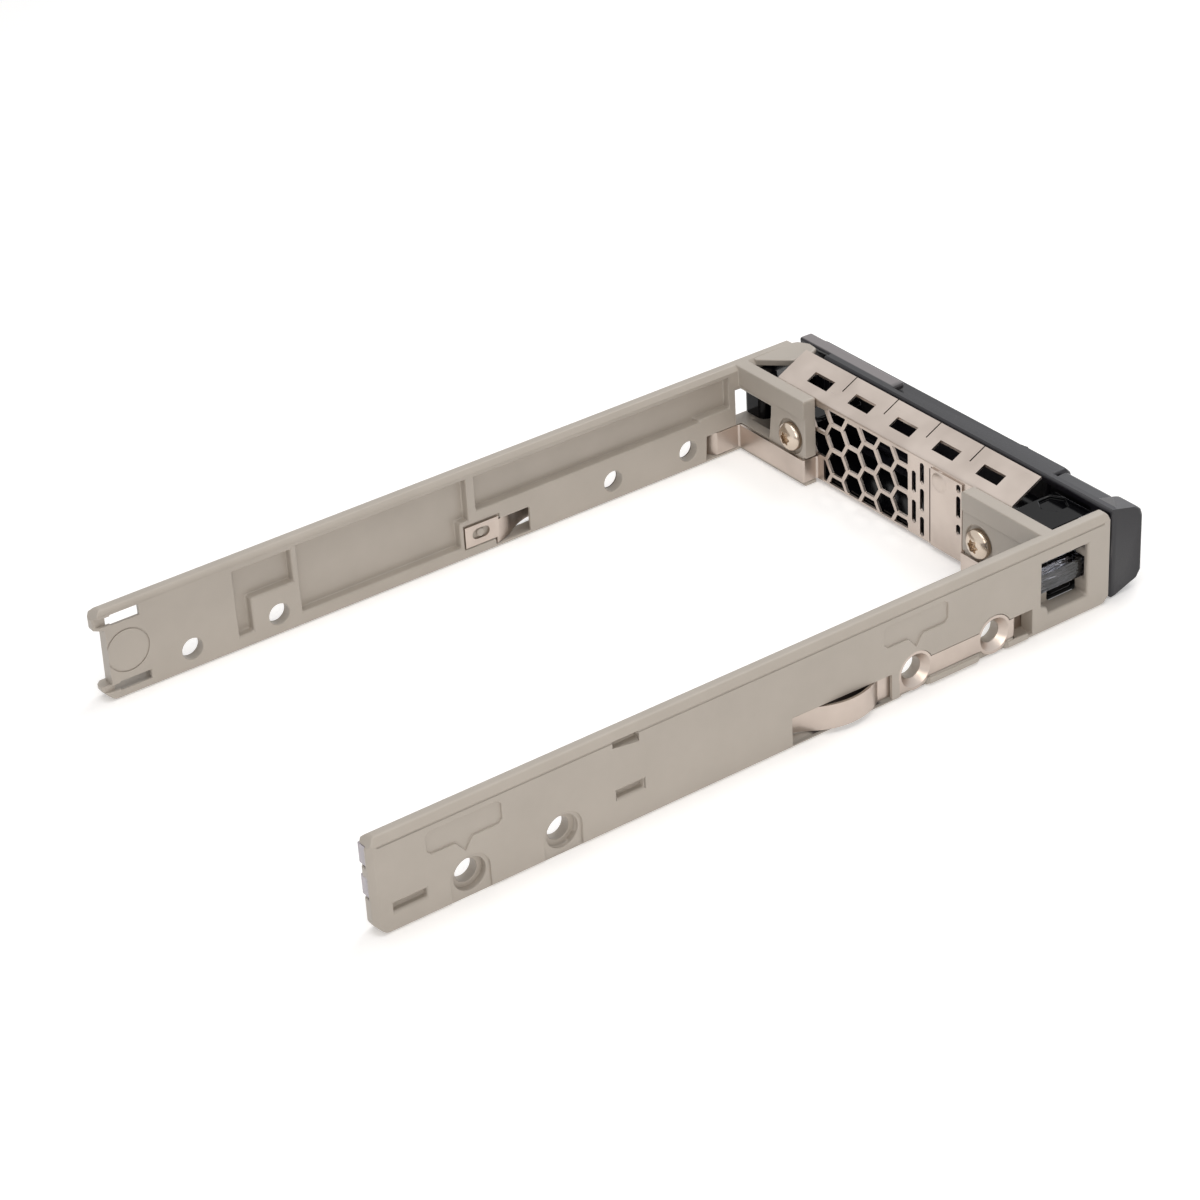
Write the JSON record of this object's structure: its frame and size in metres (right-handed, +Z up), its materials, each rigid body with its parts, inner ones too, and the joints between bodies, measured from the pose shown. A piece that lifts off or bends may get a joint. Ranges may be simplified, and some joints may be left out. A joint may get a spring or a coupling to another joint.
{
  "type": "hot swap drive caddy",
  "caption": "Drive carrier with two moulded rails, a perforated spring shield across the front, and a black bezel with a hinged ejector lever and a release button.",
  "frame": {"origin": "centre of the bounding box in plan, on the plane of its underside", "axes": "+X from the near rail towards the hinge side, -Y out of the bezel towards the person in front of the server, +Z up"},
  "size_m": [0.0788, 0.1364, 0.0179],
  "materials": {
    "rail_plastic": "moulded, lightly mineral-filled satin",
    "shield_steel": "thin rolled stainless strip, satin",
    "bezel_plastic": "fine grained",
    "button_plastic": "fine grained",
    "pin_steel": "ground",
    "spring_steel": "drawn wire",
    "light_pipe": "clear moulded polycarbonate",
    "screw_steel": "nickel plated"
  },
  "bodies": {
    "carrier": {"left_rail": "rail_plastic", "right_rail": "rail_plastic", "emi_shield": "shield_steel", "bezel_frame": "bezel_plastic", "hinge_pin": "pin_steel", "lever_spring": "spring_steel", "button_spring": "spring_steel", "light_pipe_lower": "light_pipe", "light_pipe_upper": "light_pipe", "tab_screws": "screw_steel"},
    "lever": {"lever": "bezel_plastic"},
    "button": {"release_button": "button_plastic"}
  },
  "joints": [
    {"name": "lever_hinge", "type": "hinge", "parent": "carrier", "child": "lever", "pos_m": [0.0334, -0.0598, 0.0076], "axis": [0, 0, 1], "range_deg": [0, 60], "stiffness_Nm_per_rad": 0.004, "springref_deg": 68.75, "deforming": ["lever_spring"]},
    {"name": "button_press", "type": "slide", "parent": "carrier", "child": "button", "axis": [0, 1, 0], "range_m": [0, 0.0015], "stiffness_N_per_m": 400, "springref_m": -0.0005, "deforming": ["button_spring"]}
  ]
}
